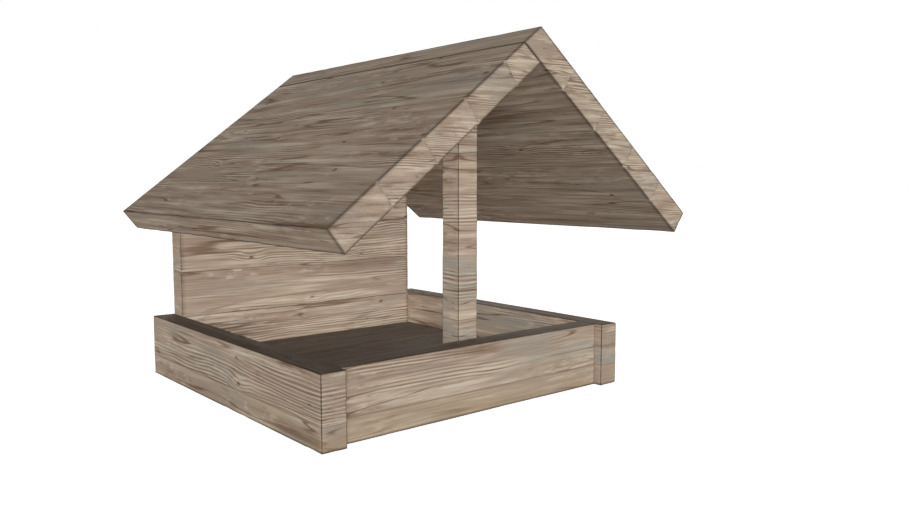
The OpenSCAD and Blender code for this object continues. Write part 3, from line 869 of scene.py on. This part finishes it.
def level_layers(world):
    """Grain along the ridge, with level layers spread evenly over the slope."""
    return world[:, [1, 2, 0]] * (1, 1 / UP_SLOPE["left"][2], 1)


def bevelled(board):
    """A fit that ends a roof plank on its bevel, which may lean either way."""
    inner = board.solid[:, 2] < board.low[2] + BEVEL_ZONE
    outer = board.solid[:, 2] > board.high[2] - BEVEL_ZONE
    end_in = board.solid[inner, 1].max()
    end_out = board.solid[outer, 1].max()

    def fit(points):
        through = (points[:, 2] - board.low[2]) / board.size()[2]
        end = end_in + (end_out - end_in) * through
        share = (points[:, 1] - board.low[1]) / board.size()[1]
        points[:, 1] = board.low[1] + share * (end - board.low[1])
        return points
    return fit


def roof_cutters(name):
    """Cutters for the fasteners that a roof plank has to leave room for."""
    if name == "roof_left_plank_1":
        return pockets("roof_barrel_nuts", -OUT["left"], BARREL_HOLE, 0.0, on_left)
    if name == "roof_right_plank_1":
        down = -UP_SLOPE["right"]
        return pockets("roof_rod_washers", down, ROD_POCKET, WASHER, at_right_eave)
    if name == "roof_right_plank_5":
        return pockets("ridge_screws", UP_SLOPE["left"], SCREW_POCKET, HEAD_HEIGHT)
    return []


def make_roof(material):
    """Planks along the ridge. The top one of each slope has a bevelled edge."""
    for side in ("left", "right"):
        names = numbered(f"roof_{side}_plank_")
        for name in names:
            board = Board(name, Y, UP_SLOPE[side], OUT[side])
            last = name == names[-1]
            piece = board.build(ROOF_EDGE, joints=(name != names[0], not last),
                                joint_gap=ROOF_JOINT_GAP, lay=level_layers,
                                fit=bevelled(board) if last else None,
                                dirt=ridge_dirt(side) if last else None)
            cutters = roof_cutters(name)
            if cutters:
                cut(piece, cutters)
            put_in_place(piece, name, material)


def make_floor(material):
    """Planks from side to side. The front one is notched round the post."""
    for i, name in enumerate(numbered("floor_plank_")):
        board = Board(name, X, Y, Z)
        board.low[1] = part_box(name)[0].y
        board.high[1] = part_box(name)[1].y
        piece = board.build(PLANK_EDGE)
        if i == 0:
            low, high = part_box("post")
            front = (low.x - FLOOR_GAP, low.y - NOTCH_START, NOTCH_HEIGHTS[0])
            back = (high.x + FLOOR_GAP, high.y + FLOOR_GAP, NOTCH_HEIGHTS[1])
            cut(piece, [box_cutter(front, back)])
        put_in_place(piece, name, material)


# ---------------------------------------------------------------- stage

STAGE_REACH = 40.0       # metres from the middle to each side of the floor
FLOOR_GREY = 0.6         # what the floor gives back of the light that falls on it
FLOOR_GLOW = 0.90        # what the camera sees besides, so that the floor shows white
HORIZON_LIGHT = 0.22     # strength of the studio's light from the horizon
OVERHEAD_LIGHT = 0.10    # and from high up
LAMP_DISTANCE = 5        # metres; a sun lights the same from anywhere


def make_stage():
    """A pale floor that shows white to the camera and gives back only a little light."""
    far = STAGE_REACH
    corners = [(-far, -far, 0), (far, -far, 0), (far, far, 0), (-far, far, 0)]
    mesh = bpy.data.meshes.new("floor")
    mesh.from_pydata(corners, [], [(0, 1, 2, 3)])
    floor = bpy.data.objects.new("studio_floor", mesh)
    bpy.context.scene.collection.objects.link(floor)
    material, g, shader = new_material("studio_floor")
    shader.inputs["Base Color"].default_value = (FLOOR_GREY, FLOOR_GREY, FLOOR_GREY, 1)
    shader.inputs["Roughness"].default_value = 0.9
    shader.inputs["Specular IOR Level"].default_value = 0.0
    shader.inputs["Emission Color"].default_value = (1, 1, 1, 1)
    seen = g.add("ShaderNodeLightPath").outputs["Is Camera Ray"]
    g.feed(shader.inputs["Emission Strength"], g.times(seen, FLOOR_GLOW))
    mesh.materials.append(material)


def make_world():
    """White to the camera. It lights the object from the horizon more than from above."""
    world = bpy.data.worlds.new("studio")
    bpy.context.scene.world = world
    world.use_nodes = True
    world.node_tree.nodes.clear()
    g = Graph(world.node_tree)
    way = g.add("ShaderNodeTexCoord").outputs["Generated"]
    height = g.split("ShaderNodeSeparateXYZ", way)["Z"]
    light = g.add("ShaderNodeBackground")
    light.inputs["Color"].default_value = (1, 1, 1, 1)
    strength = g.smooth(height, 0.0, 0.7, HORIZON_LIGHT, OVERHEAD_LIGHT)
    g.feed(light.inputs["Strength"], strength)
    seen = g.add("ShaderNodeBackground")
    seen.inputs["Color"].default_value = (1, 1, 1, 1)
    choose = g.add("ShaderNodeMixShader")
    g.feed(choose.inputs[0], g.add("ShaderNodeLightPath").outputs["Is Camera Ray"])
    g.feed(choose.inputs[1], light.outputs[0])
    g.feed(choose.inputs[2], seen.outputs[0])
    output = g.add("ShaderNodeOutputWorld")
    g.feed(output.inputs[0], choose.outputs[0])


def sun(name, azimuth, elevation, strength, softness, shadow):
    """A distant lamp. Angles are in degrees, and softness is its width.

    azimuth turns from -Y towards -X.
    """
    data = bpy.data.lights.new(name, "SUN")
    data.energy = strength
    data.angle = math.radians(softness)
    data.use_shadow = shadow
    lamp = bpy.data.objects.new(name, data)
    turn = math.radians(azimuth)
    rise = math.radians(elevation)
    level = math.cos(rise)
    way = Vector((-math.sin(turn) * level, -math.cos(turn) * level, math.sin(rise)))
    lamp.rotation_euler = way.to_track_quat("Z", "Y").to_euler()
    lamp.location = way * LAMP_DISTANCE
    bpy.context.scene.collection.objects.link(lamp)


def make_lights():
    """Low light from the front left, and a fill from behind.

    Half of the lamps cast no shadow, so that the light under the roof stays even.
    """
    sun("key", 38, 5, 2.2, 12, False)
    sun("key_shadow", 38, 9, 0.8, 16, True)
    sun("fill", 215, 20, 1.6, 40, True)
    sun("fill_wide", 215, 5, 1.1, 20, False)


# ---------------------------------------------------------------- the scene

make_camera()
make_stage()
make_world()
make_lights()
bpy.context.scene.view_settings.view_transform = "Standard"

# Copies of one wood. Their shade values set how bright each part comes out under these lamps:
# painted light on the wall and the post under the roof, and painted shade on the tray, the roof
# and the floor.
tray_wood = wood_material("weathered_tray", shade=0.93)
wall_wood = wood_material("weathered_wall", shade=1.03)
roof_wood = wood_material("weathered_roof", shade=0.94, top_painted_shade=0.30, top_shade_start=0.5,
                          grey=0.55)
floor_wood = wood_material("weathered_floor", shade=0.91, top_painted_shade=0.76)
bearer_wood = wood_material("sawn_bearer", shade=0.7, coordinates="object")
plug_wood = wood_material("roof_plug", shade=0.7, coordinates="object")
plate_zinc = zinc_material("galvanised_plate", spangle=120, dullness=0.42)
screw_zinc = zinc_material("zinc_fastener", spangle=420, dullness=0.34)

make_tray(tray_wood)
make_wall(wall_wood)
make_post(wall_wood)
make_roof(roof_wood)
make_floor(floor_wood)

# The CAD's own shapes for the rest. The boards' nodes are hidden.
PLATES = ("corner_bracket", "ridge_hanger", "roof_cleat")
for name, node in NODES.items():
    if name.startswith("bearer") or name == "tray_dowels":
        material = bearer_wood
    elif name == "roof_rod_plugs":
        material = plug_wood
    elif name.startswith(PLATES):
        material = plate_zinc
    else:
        material = screw_zinc
    node.data.materials.clear()
    node.data.materials.append(material)
